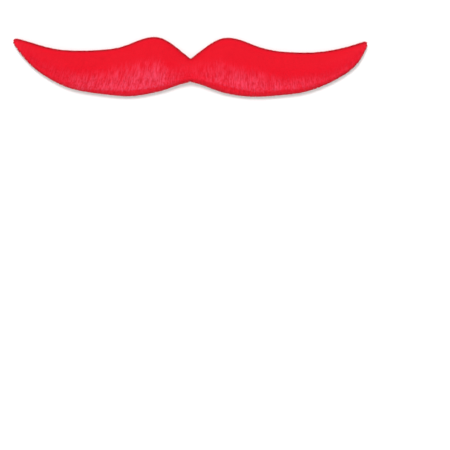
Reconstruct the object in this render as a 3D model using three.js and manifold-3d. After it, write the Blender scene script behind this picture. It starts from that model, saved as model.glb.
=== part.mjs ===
// A stick-on party moustache: red plush cut to a moustache outline, on a white self-adhesive sheet.
// It lies on its back. +X runs to the viewer's right, +Y up the face to the nose, +Z out of the fur.
// The origin is under the middle of the outline, on the face that sticks to the skin. All in millimetres.
import * as THREE from "three";
import { mergeVertices } from "three/addons/utils/BufferGeometryUtils.js";
import Module from "manifold-3d";

const wasm = await Module();
wasm.setup();

// The outline, cut from the sheet
const SPAN = 140; // from tip to tip
const HEIGHT = 23.4; // from the lowest belly to the highest hump
const NOTCH_OFFSET = 0.2; // the nose notch lies this far right of the middle of the span

// The layers, from the skin outwards
const SHEET_THICK = 0.6; // adhesive foam sheet with its release paper
const CLOTH_THICK = 1; // knitted ground of the plush
const PILE_DEPTH = 3.2; // the combed fur over the cloth, at its fullest
const CUT_EDGE = 0.5; // height of the fur at the upper edge, where the first roots stand

// How the edges of the layers lie to each other
const FUR_OVERHANG = 1; // the fur hangs this far over the cloth's lower edge, and droops beside it
const HEM_CLEARANCE = 0.3; // air between the drooping fur and the cloth and sheet
const SHEET_LOW_INSET = 0.15; // the sheet stops this far inside the fur's lower rim
const SHEET_TOP_INSET = 0.4; // and this far inside the upper edge
const TIP_LIMIT = 0.5; // none of these takes more than this share of a rib near the tips

// Combed locks on the fur
const LOCK_PITCH = 3.8; // along the lower edge
const LOCK_WIDTH = 3.4;
const LOCK_LIFT = 0.32; // the crest over the fur around it
const LOCK_ROOT = 0.5; // how deep a lock is rooted in the fur
const LOCK_SHOULDER = 0.15; // how deep its two long edges lie
const LOCK_POINT = 0.02; // the width of its pointed ends
const LOCK_FULL_RIB = 12; // on ribs shorter than this the locks grow smaller
const TIP_REACH = 0.2; // locks that end at the rim pass it by this much
const LOCK_STRETCH = 0.97; // share of a wing's lower edge with locks, which leaves the bare tip

const RIB_STEPS = 30; // ribs along each wing

// Ribs from the nose notch to the tip of a wing. Each follows the lie of the fur, from the upper edge
// to the lower one. topOut and lowOut are shares of the wing's length, top and low are shares of HEIGHT
// from the lowest belly, and loft is the share of PILE_DEPTH that the fur reaches there.
const LEFT_RIBS = [
  { topOut: 0.0, top: 0.628, lowOut: 0.0, low: 0.252, loft: 0.84 },
  { topOut: 0.057, top: 0.766, lowOut: 0.062, low: 0.205, loft: 0.92 },
  { topOut: 0.115, top: 0.901, lowOut: 0.128, low: 0.135, loft: 0.98 },
  { topOut: 0.17, top: 0.985, lowOut: 0.2, low: 0.073, loft: 1.0 },
  { topOut: 0.226, top: 0.997, lowOut: 0.27, low: 0.033, loft: 1.0 },
  { topOut: 0.29, top: 0.945, lowOut: 0.35, low: 0.008, loft: 1.0 },
  { topOut: 0.395, top: 0.826, lowOut: 0.455, low: 0.03, loft: 0.98 },
  { topOut: 0.51, top: 0.779, lowOut: 0.565, low: 0.072, loft: 0.94 },
  { topOut: 0.63, top: 0.767, lowOut: 0.67, low: 0.132, loft: 0.88 },
  { topOut: 0.74, top: 0.785, lowOut: 0.77, low: 0.258, loft: 0.8 },
  { topOut: 0.83, top: 0.841, lowOut: 0.86, low: 0.431, loft: 0.68 },
  { topOut: 0.91, top: 0.915, lowOut: 0.925, low: 0.612, loft: 0.55 },
  { topOut: 0.965, top: 0.962, lowOut: 0.968, low: 0.763, loft: 0.42 },
  { topOut: 0.991, top: 0.973, lowOut: 0.993, low: 0.868, loft: 0.32 },
  { topOut: 1.0, top: 0.945, lowOut: 1.0, low: 0.91, loft: 0.24 },
];
const RIGHT_RIBS = [
  { topOut: 0.0, top: 0.628, lowOut: 0.0, low: 0.252, loft: 0.84 },
  { topOut: 0.057, top: 0.758, lowOut: 0.06, low: 0.204, loft: 0.92 },
  { topOut: 0.115, top: 0.885, lowOut: 0.125, low: 0.13, loft: 0.98 },
  { topOut: 0.175, top: 0.973, lowOut: 0.195, low: 0.063, loft: 1.0 },
  { topOut: 0.225, top: 0.985, lowOut: 0.26, low: 0.025, loft: 1.0 },
  { topOut: 0.29, top: 0.943, lowOut: 0.34, low: 0.001, loft: 1.0 },
  { topOut: 0.385, top: 0.833, lowOut: 0.43, low: 0.004, loft: 0.98 },
  { topOut: 0.48, top: 0.765, lowOut: 0.52, low: 0.028, loft: 0.94 },
  { topOut: 0.6, top: 0.737, lowOut: 0.63, low: 0.067, loft: 0.88 },
  { topOut: 0.72, top: 0.742, lowOut: 0.74, low: 0.168, loft: 0.81 },
  { topOut: 0.82, top: 0.785, lowOut: 0.84, low: 0.313, loft: 0.7 },
  { topOut: 0.905, top: 0.845, lowOut: 0.92, low: 0.473, loft: 0.58 },
  { topOut: 0.955, top: 0.891, lowOut: 0.963, low: 0.62, loft: 0.48 },
  { topOut: 0.985, top: 0.915, lowOut: 0.988, low: 0.755, loft: 0.38 },
  { topOut: 1.0, top: 0.895, lowOut: 1.0, low: 0.84, loft: 0.28 },
];

// The crown of the fur along a rib: across is the share of the rib from the lower rim, and rise is the
// share of the height there.
const CROWN = [
  { across: 0.0, rise: 0.1 },
  { across: 0.012, rise: 0.36 },
  { across: 0.045, rise: 0.62 },
  { across: 0.1, rise: 0.83 },
  { across: 0.2, rise: 0.97 },
  { across: 0.36, rise: 1.0 },
  { across: 0.54, rise: 0.97 },
  { across: 0.7, rise: 0.88 },
  { across: 0.84, rise: 0.71 },
  { across: 0.94, rise: 0.47 },
];
const DROOP_FADE = 0.3; // from this share of a rib upwards the crown stands on the cloth alone

// Rows of locks laid like shingles. from and to are shares of the rib, and stagger is a share of the pitch.
const LOCK_ROWS = [
  { from: 0.56, to: 0.0, stagger: 0.25 },
  { from: 0.92, to: 0.36, stagger: 0.75 },
];
// A lock along its length: at is the share of the way, width and lift are shares of the full ones.
const LOCK_SHAPE = [
  { at: 0.0, width: 0.0, lift: -0.4 },
  { at: 0.3, width: 0.7, lift: 0.45 },
  { at: 0.62, width: 1.0, lift: 1.0 },
  { at: 0.86, width: 0.62, lift: 1.0 },
  { at: 1.0, width: 0.0, lift: 0.35 },
];

const CLOTH_TOP = SHEET_THICK + CLOTH_THICK;
const HEM = SHEET_THICK + HEM_CLEARANCE;
const UP = new THREE.Vector3(0, 0, 1);

const FUR_RED = 0xec1c2e;
const CLOTH_RED = 0xb5121f;
const PAPER_WHITE = 0xf4f1ea;

// One wing as smooth curves through its table: the lower edge, the upper edge and the loft.
function wing(side, table) {
  const length = SPAN / 2 - side * NOTCH_OFFSET;
  const place = (out, share) =>
    new THREE.Vector3(NOTCH_OFFSET + side * out * length, (share - 0.5) * HEIGHT, 0);
  const through = (points) => new THREE.CatmullRomCurve3(points, false, "centripetal");
  return {
    low: through(table.map((row) => place(row.lowOut, row.low))),
    top: through(table.map((row) => place(row.topOut, row.top))),
    loft: through(table.map((row) => new THREE.Vector3(row.topOut, row.loft, 0))),
  };
}

const LEFT = wing(-1, LEFT_RIBS);
const RIGHT = wing(1, RIGHT_RIBS);

function ribAt(side, t) {
  const low = side.low.getPoint(t);
  const top = side.top.getPoint(t);
  return { low, top, length: low.distanceTo(top), loft: side.loft.getPoint(t).y * PILE_DEPTH };
}

// Every rib, from the right tip over the notch to the left tip.
function allRibs() {
  const steps = Array.from({ length: RIB_STEPS + 1 }, (_, i) => i / RIB_STEPS);
  const right = steps.map((t) => ribAt(RIGHT, t)).reverse();
  const left = steps.slice(1).map((t) => ribAt(LEFT, t));
  return [...right, ...left];
}

const RIBS = allRibs();

// A point over a rib: share runs from its lower end to its upper end.
function over(rib, share, z) {
  const point = rib.low.clone().lerp(rib.top, share);
  point.z = z;
  return point;
}

// A length along a rib as a share of it.
function shareOf(rib, length) {
  return Math.min(length / rib.length, TIP_LIMIT);
}

// A closed skin through rings of equal counts, with a flat cap at each end. Seen from behind, rings run
// anticlockwise. flatEnds is a ring laid flat, which says how the caps are cut into triangles.
function loftRings(rings, flatEnds) {
  const count = rings[0].length;
  const positions = rings.flat().flatMap((p) => [p.x, p.y, p.z]);
  const faces = [];
  for (let r = 0; r + 1 < rings.length; r++) {
    for (let k = 0; k < count; k++) {
      const a = r * count + k;
      const b = r * count + ((k + 1) % count);
      faces.push(a, b, b + count, a, b + count, a + count);
    }
  }
  const last = (rings.length - 1) * count;
  const turn = Math.sign(THREE.ShapeUtils.area(flatEnds));
  for (const corners of THREE.ShapeUtils.triangulateShape(flatEnds, [])) {
    const same = Math.sign(THREE.ShapeUtils.area(corners.map((k) => flatEnds[k]))) === turn;
    const [a, b, c] = same ? corners : [...corners].reverse();
    faces.push(a, c, b, last + a, last + b, last + c);
  }
  const made = new THREE.BufferGeometry();
  made.setAttribute("position", new THREE.Float32BufferAttribute(positions, 3));
  made.setIndex(faces);
  return made;
}

// The section of the fur over a rib, as shares of the rib and heights.
function furSection(rib) {
  const hang = shareOf(rib, FUR_OVERHANG);
  const inner = hang - Math.min(HEM_CLEARANCE / rib.length, hang / 2);
  const crown = CROWN.map((row) => {
    const onCloth = THREE.MathUtils.smoothstep(row.across, 0, DROOP_FADE);
    const root = THREE.MathUtils.lerp(HEM, CLOTH_TOP, onCloth);
    return [row.across, THREE.MathUtils.lerp(root, CLOTH_TOP + rib.loft, row.rise)];
  });
  return [
    [1, CLOTH_TOP],
    [inner, CLOTH_TOP],
    [inner, HEM],
    [inner / 4, HEM],
    ...crown,
    [1, CLOTH_TOP + Math.min(CUT_EDGE, rib.loft / 2)],
  ];
}

function furBody() {
  const sections = RIBS.map(furSection);
  const rings = RIBS.map((rib, i) => sections[i].map(([share, z]) => over(rib, share, z)));
  const flat = sections[0].map(([share, z]) => new THREE.Vector2(share * RIBS[0].length, z));
  return loftRings(rings, flat);
}

// The height of the crown at a share of a rib.
function crownHeight(rib, share) {
  const rows = furSection(rib).slice(4);
  const next = Math.max(1, rows.findIndex(([across]) => across >= share));
  const [a, low] = rows[next - 1];
  const [b, high] = rows[next];
  return THREE.MathUtils.mapLinear(share, a, b, low, high);
}

// One lock: a ridge with a buried keel that lies along a rib and comes to a point at both ends.
function lockOn(rib, row) {
  const size = Math.min(1, rib.length / LOCK_FULL_RIB);
  const down = rib.low.clone().sub(rib.top).normalize();
  const sideways = UP.clone().cross(down);
  const rings = LOCK_SHAPE.map((shape) => {
    const share = THREE.MathUtils.lerp(row.from, row.to, shape.at);
    const height = crownHeight(rib, share);
    const reach = share === 0 ? TIP_REACH * size : 0;
    const centre = over(rib, share, 0).addScaledVector(down, reach);
    const half = (LOCK_POINT + shape.width * LOCK_WIDTH * size) / 2;
    const shoulder = height - LOCK_SHOULDER * size;
    const keel = Math.max(HEM, height - LOCK_ROOT * size);
    const crest = height + shape.lift * LOCK_LIFT * size;
    const at = (offset, z) => centre.clone().addScaledVector(sideways, offset).setZ(z);
    return [at(-half, shoulder), at(0, keel), at(half, shoulder), at(0, crest)];
  });
  const diamond = [[-1, 0], [0, -1], [1, 0], [0, 1]].map(([x, y]) => new THREE.Vector2(x, y));
  return loftRings(rings, diamond);
}

function allLocks() {
  const locks = [];
  for (const side of [LEFT, RIGHT]) {
    const count = Math.floor(side.low.getLength() / LOCK_PITCH);
    for (const row of LOCK_ROWS) {
      for (let i = 0; i < count; i++) {
        const t = side.low.getUtoTmapping(((i + row.stagger) / count) * LOCK_STRETCH);
        locks.push(lockOn(ribAt(side, t), row));
      }
    }
  }
  return locks;
}

function toSolid(geometry) {
  const merged = mergeVertices(geometry);
  const vertProperties = merged.attributes.position.array;
  const triVerts = new Uint32Array(merged.index.array);
  return new wasm.Manifold(new wasm.Mesh({ numProp: 3, vertProperties, triVerts }));
}

function toGeometry(solid) {
  const mesh = solid.getMesh();
  const made = new THREE.BufferGeometry();
  made.setAttribute("position", new THREE.BufferAttribute(new Float32Array(mesh.vertProperties), 3));
  made.setIndex(new THREE.BufferAttribute(new Uint32Array(mesh.triVerts), 1));
  made.computeVertexNormals();
  return made;
}

// A flat layer whose edges lie inside the lower and upper ends of the ribs.
function layer(lowInset, topInset, thickness) {
  const low = RIBS.map((rib) => over(rib, shareOf(rib, lowInset), 0));
  const top = RIBS.map((rib) => over(rib, 1 - shareOf(rib, topInset), 0)).reverse();
  const outline = new THREE.Shape([...low, ...top].map((p) => new THREE.Vector2(p.x, p.y)));
  return new THREE.ExtrudeGeometry(outline, { depth: thickness, bevelEnabled: false });
}

function piece(name, geometry, colour, roughness, z = 0) {
  const material = new THREE.MeshStandardMaterial({ color: colour, roughness, metalness: 0 });
  const mesh = new THREE.Mesh(geometry, material);
  mesh.name = name;
  mesh.position.z = z;
  return mesh;
}

const fur = allLocks().reduce((body, lock) => body.add(toSolid(lock)), toSolid(furBody()));
const cloth = layer(FUR_OVERHANG, 0, CLOTH_THICK);
const sheet = layer(SHEET_LOW_INSET, SHEET_TOP_INSET, SHEET_THICK);

const moustache = new THREE.Group();
moustache.add(
  piece("adhesive_sheet", sheet, PAPER_WHITE, 0.6),
  piece("ground_cloth", cloth, CLOTH_RED, 0.95, SHEET_THICK),
  piece("fur_pile", toGeometry(fur), FUR_RED, 0.55),
);

export default moustache;
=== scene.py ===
"""A red plush stick-on moustache, fur side up: combed hairs, knitted ground and adhesive sheet."""

import math

import bmesh
import bpy
import numpy as np
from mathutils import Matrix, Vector
from mathutils.bvhtree import BVHTree


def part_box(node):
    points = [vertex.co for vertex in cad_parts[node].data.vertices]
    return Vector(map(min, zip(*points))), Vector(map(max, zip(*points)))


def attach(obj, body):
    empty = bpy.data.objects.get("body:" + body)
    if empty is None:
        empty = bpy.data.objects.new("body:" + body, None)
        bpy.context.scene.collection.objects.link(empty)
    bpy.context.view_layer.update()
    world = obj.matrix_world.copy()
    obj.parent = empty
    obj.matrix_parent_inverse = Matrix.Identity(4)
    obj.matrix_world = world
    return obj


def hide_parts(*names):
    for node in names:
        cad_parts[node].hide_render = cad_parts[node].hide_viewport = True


MM = 0.001

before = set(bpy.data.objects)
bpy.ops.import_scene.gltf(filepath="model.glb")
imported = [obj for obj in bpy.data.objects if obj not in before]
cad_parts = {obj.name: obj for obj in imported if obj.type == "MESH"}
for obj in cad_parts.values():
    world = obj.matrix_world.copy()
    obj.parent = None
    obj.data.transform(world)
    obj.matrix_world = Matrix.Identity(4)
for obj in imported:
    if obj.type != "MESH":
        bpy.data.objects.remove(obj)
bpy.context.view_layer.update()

# Photograph: the object's place in the picture and the scale there
PICTURE_PX = 450
MIDDLE_PX = (190.05, 66.75)  # the middle of the moustache's outline
PIXEL = 0.3966 * MM
LENS_MM = 200
SENSOR_MM = 36

# Measuring the fur's surface
NOTCH_X = 0.2 * MM  # the nose notch, right of the middle
INSET = 0.02 * MM  # the first and last stations lie this far inside the tips
LEAST_HEIGHT = 0.3 * MM  # from the rim to the upper edge, at the tips
STATIONS = 281  # places along the moustache where the surface is measured
ACROSS = 56  # measured places from the rim to the upper edge
CLOSER = 1.7  # as a power, how much closer these are near the rim
ENDS_IN = 0.003  # the first and last shares, before that power, are this far from 0 and 1
SETTLING = 12  # rounds in which a leaning path finds where it meets an edge
BLUR = 3.0  # stations over which the locks' relief is evened out
PATH_STEPS = 160  # even steps down the surface
NEAR_RIM = (1.0, 11.0)  # mm above the rim, from wholly near it to not near it

# How far the hairs lean outward on their way down, in degrees
LEAN = [
    # mm out from the notch, left wing, right wing
    {"out": 0, "left": 0, "right": 0},
    {"out": 6, "left": 5, "right": 0},
    {"out": 15, "left": 12, "right": 1},
    {"out": 35, "left": 15, "right": 3},
    {"out": 70, "left": 22, "right": 12},
]

# How the hairs' paths turn in under the rim
TUCK = [
    # mm from the rim, inward and down
    {"inward": 0.0, "down": 0.25},
    {"inward": 0.12, "down": 0.5},
    {"inward": 0.4, "down": 0.62},
]

# How far the rim of the hairs reaches down past the adhesive sheet's edge
RIM_REACH = [
    # mm right of the middle, mm past the edge
    {"x": -70, "reach": 0.24},
    {"x": -67.5, "reach": 0.46},
    {"x": -63, "reach": 0.46},
    {"x": -57, "reach": 0.24},
    {"x": 68.4, "reach": 0.24},
    {"x": 70, "reach": 0.45},
]

# The gleam on the combed fur as it is seen from above, painted into the hair's colour as a pale sheen
GLEAM = [
    # mm right of the middle, strength, then in mm above the rim: full below, gone above, rolled band
    {"x": -66, "strength": 0.03, "full": 1.0, "gone": 3.5, "band": 0.4},
    {"x": -59, "strength": 0.05, "full": 2.4, "gone": 6.4, "band": 0.5},
    {"x": -51, "strength": 0.11, "full": 3.2, "gone": 8.6, "band": 0.5},
    {"x": -43, "strength": 0.40, "full": 2.8, "gone": 8.4, "band": 0.6},
    {"x": -36, "strength": 0.55, "full": 2.4, "gone": 10.6, "band": 1.1},
    {"x": -28, "strength": 0.62, "full": 3.4, "gone": 14.0, "band": 1.8},
    {"x": -20, "strength": 0.71, "full": 4.6, "gone": 15.6, "band": 2.1},
    {"x": -12, "strength": 0.72, "full": 4.0, "gone": 15.0, "band": 1.7},
    {"x": -8, "strength": 0.36, "full": 3.2, "gone": 9.0, "band": 1.1},
    {"x": -1, "strength": 0.05, "full": 3.4, "gone": 7.6, "band": 0.8},
    {"x": 5, "strength": 0.17, "full": 4.2, "gone": 10.0, "band": 1.7},
    {"x": 12, "strength": 0.47, "full": 4.6, "gone": 14.6, "band": 2.6},
    {"x": 20, "strength": 0.51, "full": 4.6, "gone": 13.4, "band": 2.3},
    {"x": 28, "strength": 0.38, "full": 4.4, "gone": 12.6, "band": 1.6},
    {"x": 36, "strength": 0.42, "full": 3.2, "gone": 7.8, "band": 1.7},
    {"x": 44, "strength": 0.44, "full": 2.4, "gone": 7.6, "band": 1.5},
    {"x": 52, "strength": 0.15, "full": 2.2, "gone": 5.8, "band": 0.7},
    {"x": 60, "strength": 0.13, "full": 1.6, "gone": 4.4, "band": 0.5},
    {"x": 67, "strength": 0.10, "full": 0.8, "gone": 3.0, "band": 0.4},
]

# The coats of hairs, from the skin up
COATS = [
    # length, radius, lift off the skin and rooted_within, from the rim, are in mm; clump is a share
    {"name": "fur_under_coat", "hairs": 9000, "rings": 4,
     "length": 5.0, "radius": 0.080, "lift": 0.02, "clump": 0.15},
    {"name": "fur_middle_coat", "hairs": 9000, "rings": 4,
     "length": 5.6, "radius": 0.075, "lift": 0.06, "clump": 0.25},
    {"name": "fur_top_coat", "hairs": 9000, "rings": 4,
     "length": 6.4, "radius": 0.065, "lift": 0.09, "clump": 0.35},
    {"name": "fur_rim_coat", "hairs": 7000, "rings": 5,
     "length": 4.2, "radius": 0.080, "lift": 0.15, "clump": 0.20, "rooted_within": 6.0},
]
SEED = 1418
SIDES = 3
ROOT_DEPTH = 0.3 * MM
LENGTH_SHARES = (0.75, 1.15)  # single hairs' lengths, as shares of their coat's
RADIUS_SHARES = (0.75, 1.3)
PATH_SHARE, AND_MORE = 0.3, 1.2 * MM  # at most this share of the path and this much more
STUB = 0.6 * MM  # and at least this, where the path is long enough
AT_RIM = 0.6  # share of the rim coat's hairs that reach the rim, whatever their length
RIM_SCATTER = 0.25 * MM  # the rim coat's lowest ends lie within this of the path's end
SHORT_OF_RIM = 0.4 * MM  # the long coats' ends stay this far from it
END_SCATTER = 0.8 * MM  # spread of the long coats' lowest ends
LAST_ROOT = 1.5 * MM  # their lowest roots lie this far above those ends
RIM_ROOTS = 0.15  # the rim coat's lowest roots lie this share of rooted_within up from the rim
STRAY, STRAY_BEND = 2.0, 3.5  # spread of the degrees that hairs turn and bend aside
TUFT_TURN = 6  # degrees between the tufts that turn aside the furthest
ROOT_CURVE = 2.2  # as a power, how soon a hair has risen from its root
TIP_DIP = 0.8  # a hair's lift is less by this share at its tip
TAPER = {"share": [0, 0.3, 0.7, 1], "width": [0.8, 1.0, 0.75, 0.12]}  # width along a hair
FLOOR_GAP = 0.25 * MM  # hairs stay this far above the table
ROLL = 1.3 * MM  # the long coats' lowest ends lie about this far up the path, or more on a wide band
COMBED, LOOSE = 0.30, 0.65  # shares of the way down between which the smooth fur comes loose
COMBED_TURN, COMBED_LIFT = 0.25, 0.3  # shares of its turn and lift that a hair has where it is smooth
TIP_WEIGHT = 7 * MM  # the narrow tips get as many hairs as a path of this length
PAST_LEFT, PAST_RIGHT = 0.05 * MM, 0.35 * MM  # hairs spread this far past the last path at each tip
TUFT = 0.7 * MM  # hairs draw together in tufts of about this width
TUFT_LENGTH = 4 * MM
TUFT_LIFT, TUFT_TONE = 0.6, 0.3  # what its tuft adds to a hair's lift, and its share of the hair's tone
GATHER, GATHER_SPREAD = 0.3, 0.4  # where across a tuft its hairs draw together
STAGGER = 0.37  # each row of tufts is set this share of a tuft aside of the row above
ROW_SWAY, ROW_WAVE = 0.5, 0.9 * MM  # the rows wave by this share of a length, a radian in this width
TUFT_VALUES = (512, 64)  # the tufts' random values, across and down, before they repeat
PLASTIC_NUMBER = 1.3247179572  # its powers spread the roots evenly
ROOT_STRAY = 0.5  # and each root strays from there by up to this share of their distance
LEVEL_LIT = 0.7  # how far each combed hair is lit as the whole surface is
LOOSE_LIT = 0.5  # loose hairs are less so, by this share

# Fibres along the cut upper edge
FRINGE_FIBRES = 8000
FRINGE_RADIUS = 0.04 * MM
FRINGE_RADIUS_SHARES = (0.7, 1.2)
FRINGE_TAPER = (1.0, 0.8, 0.15)
FRINGE_REACH = 0.36 * MM
FRINGE_LEAST, FRINGE_SHORTER = 0.35, 1.5  # shares are drawn from the first up, and raised to the second
FRINGE_ROOT = 0.25 * MM  # they start this far inside the edge
FRINGE_BAND = (-0.5 * MM, 0.55 * MM)  # and between these heights from the ground's top
FRINGE_SWAY = 0.24 * MM  # spread of how far they lean along the edge
FRINGE_RISE, FRINGE_DROOP = 0.15 * MM, 0.35 * MM  # they all rise so far, and then droop up to so far
FRINGE_RUN = 0.15 * MM  # how far down the paths their colour is read
FRINGE_LIT = 0.5 * LEVEL_LIT
CORNER = 1.6 * MM  # over this last length at the right tip they stand longer, to a pointed corner
CORNER_CROWD = 4  # and there are up to this many times more of them

# How much of its cell in the UV map a hair takes up, and what it leaves free
CELL_USED, CELL_MARGIN = 0.9, 0.05

# The solid pieces under the hairs
WELD = 0.001 * MM  # corners of a solid's triangles that are closer than this are joined
VOXEL = 0.4 * MM
PRESSED = 0.15 * MM  # the undercoat lies this far inside the fur's own form
CUT_ROUND = 0.15 * MM  # rounding of the ground's cut edges
SHARP = 1.2  # radians between faces, from which an edge counts as cut

# The stage
ROOM_LIGHT = 0.64
TABLE_HALF = 3  # metres
TABLE_GAP = 0.02 * MM  # between the table and the face that rests on it


class Nodes:
    """Makes nodes in one material."""

    def __init__(self, name):
        self.material = bpy.data.materials.new(name)
        self.material.use_nodes = True
        self.tree = self.material.node_tree
        self.tree.nodes.clear()

    def add(self, kind, settings=None, out=0, **inputs):
        """A node of a type, with its settings first and then its sockets' values or links."""
        node = self.tree.nodes.new(kind)
        for key, value in (settings or {}).items():
            setattr(node, key, value)
        for key, value in inputs.items():
            numbered = key[0] == "i" and key[1:].isdigit()
            socket = node.inputs[int(key[1:])] if numbered else node.inputs[key.replace("_", " ")]
            if isinstance(value, Value):
                self.tree.links.new(value.socket, socket)
            else:
                socket.default_value = value
        return Value(self, node.outputs[out])

    def attribute(self, name):
        return self.add("ShaderNodeAttribute", {"attribute_name": name}, out=2)

    def object_place(self):
        return self.add("ShaderNodeTexCoord", out=3)

    def noise(self, place, scale, detail):
        return self.add("ShaderNodeTexNoise", Vector=place, Scale=scale, Detail=detail)

    def combed_noise(self, across, along, scale=1.0, detail=2.0):
        """Noise with so many features a mm across the hairs and along them."""
        x = self.attribute("path_mm") * across
        y = self.attribute("down_mm") * along
        return self.noise(self.add("ShaderNodeCombineXYZ", X=x, Y=y), scale, detail)

    def mix(self, share, a, b):
        """Colour a where share is 0 and b where it is 1."""
        return self.add("ShaderNodeMix", {"data_type": "RGBA"}, out=2, i0=share, i6=a, i7=b)

    def surface(self, shader):
        out = self.tree.nodes.new("ShaderNodeOutputMaterial")
        self.tree.links.new(shader.socket, out.inputs["Surface"])
        return self.material


class Value:
    """A socket that takes part in Python sums."""

    def __init__(self, nodes, socket):
        self.nodes = nodes
        self.socket = socket

    def maths(self, operation, *others, swap=False):
        operands = [self, *others]
        if swap:
            operands.reverse()
        named = {f"i{i}": value for i, value in enumerate(operands)}
        return self.nodes.add("ShaderNodeMath", {"operation": operation}, **named)

    def __add__(self, other):
        return self.maths("ADD", other)

    def __radd__(self, other):
        return self.maths("ADD", other)

    def __sub__(self, other):
        return self.maths("SUBTRACT", other)

    def __rsub__(self, other):
        return self.maths("SUBTRACT", other, swap=True)

    def __mul__(self, other):
        return self.maths("MULTIPLY", other)

    def __rmul__(self, other):
        return self.maths("MULTIPLY", other)

    def clamped(self):
        return self.maths("MAXIMUM", 0.0).maths("MINIMUM", 1.0)

    def rising(self, low, high):
        """0 up to low, 1 from high on, and smooth between them."""
        settings = {"interpolation_type": "SMOOTHSTEP"}
        return self.nodes.add("ShaderNodeMapRange", settings, Value=self, From_Min=low, From_Max=high)


# Colours as the shader takes them
DEEP_RED = (0.30, 0.0014, 0.007, 1)
FUR_RED = (0.72, 0.0020, 0.0150, 1)
# the pale colour of the painted sheen
PAINTED_SHEEN_RED = (0.72, 0.053, 0.103, 1)
GROUND_RED = (0.42, 0.005, 0.012, 1)
PAPER = (0.86, 0.85, 0.80, 1)
PAPER_SHADE = (0.80, 0.78, 0.72, 1)
FLOOR = (0.80, 0.80, 0.80, 1)

# Painted shade: the fur's colour is darkened towards each of its edges
EDGE_SHADE = 0.60  # the share of its full colour that the fur keeps at each edge
BASE_SHADE = 0.70  # and the share that a hair has at its root


def painted_edge_shade(n):
    """How far the fur keeps its full colour: a painted shade near its edges, where the thin fur also
    shows its deeper roots, but not past them.
    """
    from_top = n.attribute("from_top_mm")
    # painted shade within about 1.5 mm of the upper edge, and within 0.8 mm of every edge
    crown = EDGE_SHADE + (1.0 - EDGE_SHADE) * from_top.rising(0.4, 1.5)
    line = EDGE_SHADE + (1.0 - EDGE_SHADE) * n.attribute("inside_mm").rising(0.0, 0.8)
    past = 1.0 - from_top.rising(-0.2, 0.25)
    return crown * line + past * (1.0 - crown * line)


def streaked(n, near_rim):
    """0 to 1 in long streaks along the hairs, with shorter flecks among them near the rim: the painted
    sheen's pattern.
    """
    flecks = n.combed_noise(2.2, 1.1, detail=0.0) - 0.5
    grain = n.combed_noise(2.4, 0.3) + 0.4 * near_rim * flecks
    return (0.5 + 6.5 * (grain - 0.5)).clamped()


def gleam_reach(n, tone):
    """How strong the painted sheen is at a place: patchy, and with a frayed end over the rolled band."""
    frayed = 1.2 * (n.combed_noise(2.4, 0.3, 0.7, 1.0) - 0.5) + 0.4 * (tone - 0.5)
    ends = (n.attribute("over_band_mm") + frayed).rising(-0.3, 0.35)
    patchy = 0.1 + 1.8 * n.combed_noise(0.5, 0.1).rising(0.0, 1.0)
    return n.attribute("gleam") * (0.15 + 0.85 * ends) * patchy


def hair_material():
    """Red acrylic hair, a touch deeper at the root; painted edge shade, painted light over the band,
    painted sheen in pale streaks.
    """
    n = Nodes("combed_red_hair")
    tone = n.attribute("tone")
    along = n.attribute("along")
    near_rim = n.attribute("near_rim")
    over_band = n.attribute("over_band_mm")
    streaks = streaked(n, near_rim)
    lit = gleam_reach(n, tone)

    # Painted light: the red is raised over the top of the rolled band, where the loose hairs' shading
    # darkens it
    painted_band_lift = over_band.rising(-2.4, -1.2) * (1.0 - over_band.rising(0.3, 2.4))
    # the hair's red: random tone, a little deeper at the root, with painted edge shade and painted light
    dye_and_painted_light = (BASE_SHADE + 0.05 * along + 0.05 * tone + 0.25 * painted_band_lift) * painted_edge_shade(n)
    # painted sheen: the red is a touch lower under it and darker between its streaks
    dye_and_painted_light = dye_and_painted_light - 0.06 * lit + 0.30 * lit.rising(0.0, 0.4) * (0.35 + 0.65 * near_rim) * (streaks - 0.5)

    # painted sheen in the pale colour: streaks, painted glints near the hairs' tips, and a paler wash
    # near the rim
    contrast = 1.0 + 0.3 * near_rim - 0.2 * lit.rising(0.3, 0.8)
    contrast = contrast + 0.6 * (1.0 - near_rim) * (1.0 - lit.rising(0.1, 0.4))
    glints = tone.rising(0.75, 0.95) * along.rising(0.3, 1.0)
    gleam = lit * (1.0 + contrast * (streaks - 0.5)) * (0.65 + 0.5 * tone) * (0.75 + 0.35 * along)
    gleam = gleam + 0.9 * lit * glints + 0.085 * near_rim * (0.6 + 0.8 * streaks)
    shader = n.add(
        "ShaderNodeBsdfPrincipled",
        Base_Color=n.mix(gleam.clamped(), n.mix(dye_and_painted_light.clamped(), DEEP_RED, FUR_RED), PAINTED_SHEEN_RED),
        Roughness=0.62 - 0.14 * gleam,
        Specular_IOR_Level=0.08,
    )
    return n.surface(shader)


def undercoat_material():
    """The dense short fur below, in the same reds, with the fine grain of combing and a painted shade
    near the edges.
    """
    n = Nodes("dense_red_undercoat")
    combed = n.add("ShaderNodeMapping", Vector=n.object_place(), Scale=(9000.0, 1400.0, 9000.0))
    strands = n.noise(combed, 1.0, 2.0)
    bump = n.add("ShaderNodeBump", Strength=0.6, Distance=0.0002, Height=strands)
    shader = n.add(
        "ShaderNodeBsdfPrincipled",
        # painted shade near the edges, as on the hairs
        Base_Color=n.mix((0.65 + 0.2 * strands) * painted_edge_shade(n), DEEP_RED, FUR_RED),
        Roughness=0.75,
        Specular_IOR_Level=0.1,
        Normal=bump,
    )
    return n.surface(shader)


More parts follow.
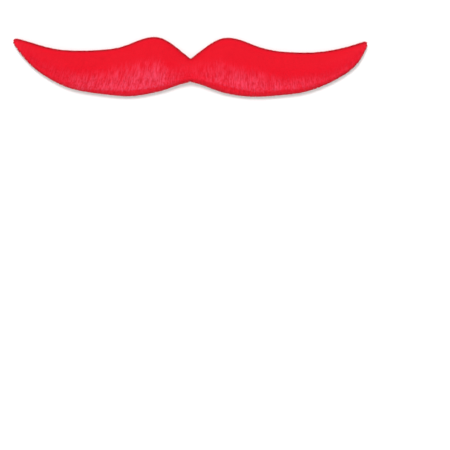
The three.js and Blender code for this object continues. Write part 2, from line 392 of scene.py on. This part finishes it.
def knit_material():
    """The warp-knitted ground: rows of small loops, matt and darker than the fur, with painted shade in
    the hollows between them.
    """
    n = Nodes("knitted_red_ground")
    place = n.object_place()
    wales = n.add("ShaderNodeTexWave", {"bands_direction": "X"}, out=1, Vector=place, Scale=420.0)
    courses = n.add("ShaderNodeTexWave", {"bands_direction": "Y"}, out=1, Vector=place, Scale=560.0)
    # the loops' height, which also darkens the hollows between them as painted shade
    loops = wales * 0.5 + courses * 0.5
    bump = n.add("ShaderNodeBump", Strength=0.7, Distance=0.0003, Height=loops)
    shader = n.add(
        "ShaderNodeBsdfPrincipled",
        Base_Color=n.mix(loops, DEEP_RED, GROUND_RED),
        Roughness=0.9,
        Specular_IOR_Level=0.2,
        Normal=bump,
    )
    return n.surface(shader)


def sheet_material():
    """White release paper: faint fibres, a soft calendered shine."""
    n = Nodes("white_release_paper")
    place = n.object_place()
    fibres = n.noise(place, 900.0, 4.0)
    bump = n.add("ShaderNodeBump", Strength=0.25, Distance=0.00008, Height=fibres)
    shader = n.add(
        "ShaderNodeBsdfPrincipled",
        Base_Color=n.mix(n.noise(place, 90.0, 2.0), PAPER_SHADE, PAPER),
        Roughness=0.42 + 0.15 * fibres,
        Normal=bump,
    )
    return n.surface(shader)


def floor_material():
    n = Nodes("white_table")
    shader = n.add("ShaderNodeBsdfPrincipled", Base_Color=FLOOR, Roughness=0.8, Specular_IOR_Level=0.0)
    return n.surface(shader)


def smoothstep(x, low, high):
    t = np.clip((x - low) / (high - low), 0, 1)
    return t * t * (3 - 2 * t)


def column(table, name):
    return [row[name] for row in table]


def unit(vectors):
    """Vectors of length 1, upward where there is no length."""
    vectors = vectors + np.array([0, 0, 1e-12])
    return vectors / np.linalg.norm(vectors, axis=-1, keepdims=True)


# Measuring the fur's surface on the solids


def tree_of(node):
    bm = bmesh.new()
    bm.from_mesh(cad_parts[node].data)
    tree = BVHTree.FromBMesh(bm)
    bm.free()
    return tree


def side_wall(node, xs, way):
    """y of a flat layer's wall at each x: way is 1 for its upper edge and -1 for its lower one."""
    low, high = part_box(node)
    tree = tree_of(node)
    start, middle = way * 2 * high.y, (low.z + high.z) / 2
    hits = [tree.ray_cast(Vector((x, start, middle)), Vector((0, -way, 0)))[0].y for x in xs]
    return np.array(hits)


def softened(values, sigma):
    """Each column blurred along the moustache, over sigma stations."""
    reach = int(3 * sigma)
    kernel = np.exp(-0.5 * (np.arange(-reach, reach + 1) / sigma) ** 2)
    kernel /= kernel.sum()
    padded = np.pad(values, [(reach, reach), (0, 0)], mode="edge")
    return np.stack([np.convolve(padded[:, k], kernel, "valid") for k in range(values.shape[1])], 1)


class NapSurface:
    """The fur's surface as paths that the hairs follow, from the upper edge down and under the rim."""

    def __init__(self):
        low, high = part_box("ground_cloth")
        self.x = np.linspace(low.x + INSET, high.x - INSET, STATIONS)
        self.top = side_wall("ground_cloth", self.x, 1)
        self.corner = smoothstep(self.x, self.x[-1] - CORNER, self.x[-1])
        reach = np.interp(self.x / MM, column(RIM_REACH, "x"), column(RIM_REACH, "reach")) * MM
        self.low = side_wall("adhesive_sheet", self.x, -1) - reach
        self.low = np.minimum(self.low, self.top - LEAST_HEIGHT)
        out = abs(self.x - NOTCH_X) / MM
        left = np.interp(out, column(LEAN, "out"), column(LEAN, "left"))
        right = np.interp(out, column(LEAN, "out"), column(LEAN, "right"))
        lean = np.where(self.x < NOTCH_X, -left, right)
        self.paths = self.measured(np.tan(np.radians(lean)))
        aside = np.gradient(self.paths, axis=0)
        down = np.gradient(self.paths, axis=1)
        self.normals = unit(np.cross(unit(aside), -unit(down)))
        self.long_end = self.length - np.maximum(self.rolled(), ROLL)

    def rolled(self):
        """Distance from the top of the rolled band to the end of each path."""
        x, y = self.paths[..., 0], self.paths[..., 1]
        under = np.interp(x, self.x, self.low) - y
        band = np.interp(self.x / MM, column(GLEAM, "x"), column(GLEAM, "band")) * MM
        steps = np.linspace(0, 1, PATH_STEPS)
        under = np.maximum.accumulate(under, axis=1)
        share = [np.interp(-band[i], under[i], steps) for i in range(STATIONS)]
        return self.length * (1 - np.array(share))

    def reaching(self, slope, edge):
        """x and y where each path through the middle of the height meets an edge."""
        middle = (self.top + self.low) / 2
        x = self.x.copy()
        for _ in range(SETTLING):
            y = np.interp(x, self.x, edge)
            x = np.clip(self.x + slope * (middle - y), self.x[0], self.x[-1])
        return x, np.interp(x, self.x, edge)

    def measured(self, slope):
        """Points at even steps down each path, on the fur's skin."""
        low_x, low_y = self.reaching(slope, self.low)
        top_x, top_y = self.reaching(slope, self.top)
        share = np.linspace(ENDS_IN, 1 - ENDS_IN, ACROSS) ** CLOSER
        x = low_x[:, None] + (top_x - low_x)[:, None] * share
        y = low_y[:, None] + (top_y - low_y)[:, None] * share
        tree = tree_of("fur_pile")
        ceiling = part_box("fur_pile")[1].z + MM
        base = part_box("ground_cloth")[1].z
        z = np.full(x.shape, base)
        for i, j in np.ndindex(*x.shape):
            hit = tree.ray_cast(Vector((x[i, j], y[i, j], ceiling)), Vector((0, 0, -1)))[0]
            z[i, j] = hit.z if hit else base
        points = np.stack([x, y, softened(z, BLUR)], -1)[:, ::-1]
        rim = points[:, -1]
        under = [rim + np.array([0, row["inward"], -row["down"]]) * MM for row in TUCK]
        points = np.concatenate([points, np.stack(under, 1)], 1)
        steps = np.linalg.norm(np.diff(points, axis=1), axis=2)
        run = np.concatenate([np.zeros((STATIONS, 1)), np.cumsum(steps, 1)], 1)
        self.length = run[:, -1]
        even = np.linspace(0, 1, PATH_STEPS)
        paths = np.empty((STATIONS, PATH_STEPS, 3))
        for i in range(STATIONS):
            for k in range(3):
                paths[i, :, k] = np.interp(even * run[i, -1], run[i], points[i, :, k])
        return paths

    def at(self, grid, x, run):
        """grid's value for a path's x and a distance down that path."""
        s = np.clip((x - self.x[0]) / (self.x[-1] - self.x[0]), 0, 1) * (STATIONS - 1)
        a = np.clip(run / np.interp(x, self.x, self.length), 0, 1) * (PATH_STEPS - 1)
        i = np.clip(s.astype(int), 0, STATIONS - 2)
        j = np.clip(a.astype(int), 0, PATH_STEPS - 2)
        si, aj = (s - i)[..., None], (a - j)[..., None]
        near = grid[i, j] * (1 - aj) + grid[i, j + 1] * aj
        far = grid[i + 1, j] * (1 - aj) + grid[i + 1, j + 1] * aj
        return near * (1 - si) + far * si

    def seen(self, points):
        """What the fur's materials read where points lie in the outline seen from above."""
        x, y = points[..., 0], points[..., 1]
        level_top = 1 / np.hypot(1, np.gradient(self.top, self.x))
        level_low = 1 / np.hypot(1, np.gradient(self.low, self.x))
        above = (y - np.interp(x, self.x, self.low)) / MM
        from_top = (np.interp(x, self.x, self.top) - y) / MM * np.interp(x, self.x, level_top)
        from_tips = np.minimum(x - self.x[0], self.x[-1] - x) / MM
        inside = np.minimum(np.minimum(from_top, above * np.interp(x, self.x, level_low)), from_tips)
        strength, full, gone, band = (
            np.interp(x / MM, column(GLEAM, "x"), column(GLEAM, name))
            for name in ("strength", "full", "gone", "band")
        )
        return {
            # how strong the painted sheen is
            "gleam": strength * (1 - smoothstep(above, full, gone)),
            "over_band_mm": above - band,
            "near_rim": 1 - smoothstep(above, *NEAR_RIM),
            "from_top_mm": from_top,
            "inside_mm": inside,
        }


# Hairs


def tufts(rng, x, run):
    """A random value that each hair's tuft shares, and the path to which the tuft draws together."""
    rows = np.floor(run / TUFT_LENGTH + ROW_SWAY * np.sin(x / ROW_WAVE))
    columns = np.floor(x / TUFT + rows * STAGGER)
    across, down = TUFT_VALUES
    shared = rng.random(TUFT_VALUES)[columns.astype(int) % across, rows.astype(int) % down]
    return shared, (columns - rows * STAGGER + GATHER + GATHER_SPREAD * shared) * TUFT


def evenly_spread(count, rng):
    """Two values from 0 to 1 for each hair, that fill the square with few gaps and crowds."""
    index = np.arange(count) + rng.random()
    stray = ROOT_STRAY * rng.random((2, count)) / math.sqrt(count)
    return (index / PLASTIC_NUMBER + stray[0]) % 1, (index / PLASTIC_NUMBER**2 + stray[1]) % 1


def hair_values(surface, points, x, run, tone):
    """What the hair's material reads at each ring."""
    count, marks = run.shape
    return surface.seen(points) | {
        "tone": np.repeat(tone[:, None], marks, 1),
        "along": np.repeat(np.linspace(0, 1, marks)[None], count, 0),
        "path_mm": x / MM,
        "down_mm": run / MM,
    }


def coat_hairs(surface, coat, rng):
    """Centre lines, half widths and colours of one coat's hairs, as arrays over hairs and rings."""
    count, rings = coat["hairs"], coat["rings"]
    along, down = evenly_spread(count, rng)
    weight = np.cumsum(np.maximum(surface.length, TIP_WEIGHT))
    spread = np.linspace(surface.x[0] - PAST_LEFT, surface.x[-1] + PAST_RIGHT, STATIONS)
    x = np.interp(along, weight / weight[-1], spread)
    whole = np.interp(x, surface.x, surface.length)
    reach = coat["length"] * MM * rng.uniform(*LENGTH_SHARES, count)
    reach = np.minimum(reach, PATH_SHARE * whole + AND_MORE)
    if "rooted_within" in coat:
        furthest = whole - RIM_SCATTER * rng.random(count)
        start = furthest - coat["rooted_within"] * MM * (RIM_ROOTS + (1 - RIM_ROOTS) * down)
        end = np.where(rng.random(count) < AT_RIM, furthest, np.minimum(start + reach, furthest))
    else:
        furthest = np.interp(x, surface.x, surface.long_end) + END_SCATTER * rng.normal(0, 1, count)
        furthest = np.minimum(furthest, whole - SHORT_OF_RIM)
        start = down * (furthest - LAST_ROOT)
        end = np.minimum(start + reach, furthest)
    start = np.clip(start, 0, np.maximum(end - STUB, 0))
    shared, together = tufts(rng, x, start)
    share = np.linspace(0, 1, rings + 1)
    run = start[:, None] + (end - start)[:, None] * share
    loose = smoothstep(run / whole[:, None], COMBED, LOOSE)
    angle = np.radians(rng.normal(0, STRAY, count) + TUFT_TURN * (shared - 0.5))
    bend = np.radians(rng.normal(0, STRAY_BEND, count))
    sideways = np.tan(angle)[:, None] * share + np.tan(bend)[:, None] * share * share
    sideways = sideways * (COMBED_TURN + (1 - COMBED_TURN) * loose)
    px = x[:, None] + sideways * (end - start)[:, None]
    px += coat["clump"] * (together[:, None] - px) * share * loose
    lift = MM * coat["lift"] * (0.5 + rng.random(count) + TUFT_LIFT * shared)[:, None]
    lift = lift * (COMBED_LIFT + (1 - COMBED_LIFT) * loose) * (1 - TIP_DIP * share**4)
    rise = -ROOT_DEPTH + (ROOT_DEPTH + lift) * (1 - (1 - share) ** ROOT_CURVE)
    normals = unit(surface.at(surface.normals, px, run))
    points = surface.at(surface.paths, px, run) + normals * rise[..., None]
    points[..., 0] += np.clip(px - np.clip(px, surface.x[0], surface.x[-1]), -PAST_LEFT, PAST_RIGHT)
    points[..., 2] = np.maximum(points[..., 2], FLOOR_GAP)
    half = coat["radius"] * MM * rng.uniform(*RADIUS_SHARES, count)
    taper = np.interp(share, TAPER["share"], TAPER["width"])
    tone = (1 - TUFT_TONE) * rng.random(count) + TUFT_TONE * shared
    colours = hair_values(surface, points, px, run, tone)
    return points, normals, half[:, None] * taper, LEVEL_LIT * (1 - LOOSE_LIT * loose), colours


def fringe_fibres(surface, rng):
    """Short fibres that stand out of the cut upper edge, between the ground and the combed fur."""
    count, rings = FRINGE_FIBRES, 2
    edge_length = np.hypot(np.gradient(surface.x), np.gradient(surface.top))
    weight = np.cumsum(edge_length * (1 + CORNER_CROWD * surface.corner))
    x = np.interp(rng.random(count), weight / weight[-1], surface.x)
    slope = np.interp(x, surface.x, np.gradient(surface.top, surface.x))
    outward = unit(np.stack([-slope, np.ones(count), np.zeros(count)], -1))
    edgewise = unit(np.stack([np.ones(count), slope, np.zeros(count)], -1))
    share = np.linspace(0, 1, rings + 1)[:, None]
    reach = FRINGE_REACH * rng.uniform(FRINGE_LEAST, 1.0, count) ** FRINGE_SHORTER
    reach = reach * (1 + np.interp(x, surface.x, surface.corner))
    sway = FRINGE_SWAY * rng.normal(0, 1, count)
    droop = FRINGE_DROOP * rng.random(count)
    root = np.stack([x, np.interp(x, surface.x, surface.top), np.zeros(count)], -1)
    ground_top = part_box("ground_cloth")[1].z
    root[:, 2] = ground_top + rng.uniform(*FRINGE_BAND, count)
    points = (
        root[:, None]
        + outward[:, None] * ((reach + FRINGE_ROOT)[:, None, None] * share - FRINGE_ROOT)
        + edgewise[:, None] * sway[:, None, None] * share
    )
    points[..., 2] += FRINGE_RISE * share[:, 0] - droop[:, None] * share[:, 0] ** 2
    normals = np.repeat(unit(outward + np.array([0, 0, 1.0]))[:, None], rings + 1, 1)
    half = FRINGE_RADIUS * rng.uniform(*FRINGE_RADIUS_SHARES, count)[:, None] * np.array(FRINGE_TAPER)
    run = np.full((count, rings + 1), FRINGE_RUN)
    colours = hair_values(surface, points, np.repeat(x[:, None], rings + 1, 1), run, rng.random(count))
    return points, normals, half, np.full(run.shape, FRINGE_LIT), colours


def hairs_mesh(name, points, normals, half, level, colours):
    """Closed tapered hairs as one mesh: rings of three corners from the root to a pointed tip."""
    count, marks = points.shape[:2]
    rings = marks - 1
    forward = unit(np.gradient(points, axis=1))
    aside = unit(np.cross(forward, normals))
    upward = np.cross(aside, forward)
    turn = 2 * math.pi * np.arange(SIDES) / SIDES + math.pi / 2
    width = half[:, :rings, None, None]
    ring = (
        points[:, :rings, None]
        + aside[:, :rings, None] * np.cos(turn)[:, None] * width
        + upward[:, :rings, None] * np.sin(turn)[:, None] * width
    )
    per_hair = rings * SIDES + 1
    co = np.concatenate([ring.reshape(count, rings * SIDES, 3), points[:, -1:]], 1)

    faces = [(0, 1, 2)]
    for r in range(rings - 1):
        for k in range(SIDES):
            a, b = r * SIDES + k, r * SIDES + (k + 1) % SIDES
            faces.append((a, a + SIDES, b + SIDES, b))
    for k in range(SIDES):
        last = (rings - 1) * SIDES
        faces.append((last + k, rings * SIDES, last + (k + 1) % SIDES))
    corners = np.array([v for face in faces for v in face])
    sizes = [len(face) for face in faces]
    corner_vertex = corners + np.arange(count)[:, None] * per_hair
    starts = np.concatenate([[0], np.cumsum(np.tile(sizes, count))[:-1]])

    mesh = bpy.data.meshes.new(name)
    mesh.vertices.add(count * per_hair)
    mesh.vertices.foreach_set("co", co.astype(np.float32).ravel())
    mesh.loops.add(corner_vertex.size)
    mesh.loops.foreach_set("vertex_index", corner_vertex.astype(np.int32).ravel())
    mesh.polygons.add(len(starts))
    mesh.polygons.foreach_set("loop_start", starts.astype(np.int32))
    mesh.update(calc_edges=True)
    mesh.polygons.foreach_set("use_smooth", np.ones(len(starts), bool))
    round_normals = (ring - points[:, :rings, None]) / width
    level = level[:, :rings, None, None]
    shading = unit((1 - level) * round_normals + level * normals[:, :rings, None])
    shading = np.concatenate([shading.reshape(count, rings * SIDES, 3), normals[:, -1:]], 1)
    mesh.normals_split_custom_set_from_vertices(shading.reshape(-1, 3).astype(np.float32))

    for key, values in colours.items():
        around = np.repeat(values[:, :rings], SIDES, 1)
        add_attribute(mesh, key, np.concatenate([around, values[:, -1:]], 1))
    cell_map(mesh, count, rings, faces)
    return mesh


def add_attribute(mesh, name, values):
    layer = mesh.attributes.new(name, "FLOAT", "POINT")
    layer.data.foreach_set("value", values.astype(np.float32).ravel())


def cell_map(mesh, count, rings, faces):
    """A UV map with a small cell of its own for each hair, as wide as its sides laid out flat."""
    grid = math.ceil(math.sqrt(count))
    tip = rings * SIDES
    local = []
    for face in faces:
        if len(set(v // SIDES for v in face)) == 1:
            local += [(0.0, 0.0), (CELL_USED / 2, 0.0), (CELL_USED, CELL_MARGIN)]
            continue
        side = face[0] % SIDES
        for corner, v in enumerate(face):
            across = side + (1.0 if corner in (2, 3) else 0.0)
            if v == tip:
                across = side + 0.5
            along = CELL_MARGIN + (CELL_USED - CELL_MARGIN) * (v // SIDES) / rings
            local.append((CELL_USED * across / SIDES, along))
    index = np.arange(count)
    cell = np.stack([index % grid, index // grid], 1)
    uv = (cell[:, None] + np.array(local) + CELL_MARGIN) / grid
    layer = mesh.uv_layers.new(name="OFBake")
    layer.data.foreach_set("uv", uv.astype(np.float32).ravel())


def show(mesh, material):
    piece = bpy.data.objects.new(mesh.name, mesh)
    bpy.context.scene.collection.objects.link(piece)
    mesh.materials.clear()
    mesh.materials.append(material)
    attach(piece, "root")
    return piece


def merged_copy(node, name):
    """A bmesh of a node's solid with its loose triangles joined, and an empty mesh for the new piece."""
    bm = bmesh.new()
    bm.from_mesh(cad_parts[node].data)
    bmesh.ops.remove_doubles(bm, verts=bm.verts, dist=WELD)
    return bm, bpy.data.meshes.new(name)


def undercoat(surface):
    """The dense fur under the combed hairs: the fur's own form, a little smaller and smooth."""
    bm, mesh = merged_copy("fur_pile", "fur_undercoat")
    bm.to_mesh(mesh)
    bm.free()
    piece = show(mesh, undercoat_material())
    remesh = piece.modifiers.new("even", "REMESH")
    remesh.mode = "VOXEL"
    remesh.voxel_size = VOXEL
    smooth = piece.modifiers.new("soft", "SMOOTH")
    smooth.factor = 0.5
    smooth.iterations = 6
    pressed = piece.modifiers.new("pressed", "DISPLACE")
    pressed.mid_level = 0
    pressed.strength = -PRESSED
    graph = bpy.context.evaluated_depsgraph_get()
    made = bpy.data.meshes.new_from_object(piece.evaluated_get(graph))
    piece.modifiers.clear()
    piece.data = made
    made.name = "fur_undercoat"
    made.polygons.foreach_set("use_smooth", np.ones(len(made.polygons), bool))
    co = np.empty(len(made.vertices) * 3)
    made.vertices.foreach_get("co", co)
    for name, values in surface.seen(co.reshape(-1, 3)).items():
        add_attribute(made, name, values)
    return piece


def knit_ground():
    """The knitted ground with its cut edge, as a soft-edged sheet on the adhesive one."""
    bm, mesh = merged_copy("ground_cloth", "knit_ground")
    rims = [e for e in bm.edges if e.is_manifold and e.calc_face_angle() > SHARP]
    bmesh.ops.bevel(
        bm, geom=rims, affect="EDGES", offset=CUT_ROUND, segments=2, profile=0.5, material=-1,
        clamp_overlap=True,
    )
    bm.to_mesh(mesh)
    bm.free()
    return show(mesh, knit_material())


def camera():
    data = bpy.data.cameras.new("camera")
    data.lens = LENS_MM
    data.sensor_width = SENSOR_MM
    data.clip_start, data.clip_end = 0.01, 10
    eye = bpy.data.objects.new("camera", data)
    bpy.context.scene.collection.objects.link(eye)
    middle = PICTURE_PX / 2
    height = PICTURE_PX * PIXEL * LENS_MM / SENSOR_MM
    outline_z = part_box("ground_cloth")[1].z
    eye.location = (
        (middle - MIDDLE_PX[0]) * PIXEL,
        (MIDDLE_PX[1] - middle) * PIXEL,
        height + outline_z,
    )
    bpy.context.scene.camera = eye


def stage():
    bm = bmesh.new()
    bmesh.ops.create_grid(bm, x_segments=1, y_segments=1, size=TABLE_HALF)
    bmesh.ops.translate(bm, verts=bm.verts, vec=(0, 0, -TABLE_GAP))
    mesh = bpy.data.meshes.new("table")
    bm.to_mesh(mesh)
    bm.free()
    mesh.materials.append(floor_material())
    table = bpy.data.objects.new("table", mesh)
    bpy.context.scene.collection.objects.link(table)

    world = bpy.data.worlds.new("studio")
    world.use_nodes = True
    background = world.node_tree.nodes["Background"]
    background.inputs["Color"].default_value = (1, 1, 1, 1)
    background.inputs["Strength"].default_value = ROOM_LIGHT
    bpy.context.scene.world = world
    softbox("key", strength=2.68, towards=(0.10, -0.63, -1.0), spread=28)
    softbox("fill", strength=1.3, towards=(0.1, 1.0, -0.5), spread=40)
    bpy.context.scene.view_settings.view_transform = "Standard"


def softbox(name, strength, towards, spread):
    """A wide far light that shines in a direction, as soft as its spread in degrees."""
    data = bpy.data.lights.new(name, "SUN")
    data.energy = strength
    data.angle = math.radians(spread)
    light = bpy.data.objects.new(name, data)
    light.rotation_mode = "QUATERNION"
    light.rotation_quaternion = Vector(towards).to_track_quat("-Z", "Y")
    bpy.context.scene.collection.objects.link(light)


camera()
stage()

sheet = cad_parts["adhesive_sheet"]
sheet.data.materials.clear()
sheet.data.materials.append(sheet_material())

ground = knit_ground()
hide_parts("ground_cloth")

surface = NapSurface()
base = undercoat(surface)
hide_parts("fur_pile")

red_hair = hair_material()
for number, coat in enumerate(COATS):
    rng = np.random.default_rng(SEED + number)
    mesh = hairs_mesh(coat["name"], *coat_hairs(surface, coat, rng))
    show(mesh, red_hair)
rng = np.random.default_rng(SEED + len(COATS))
fringe = hairs_mesh("fur_edge_fringe", *fringe_fibres(surface, rng))
show(fringe, red_hair)
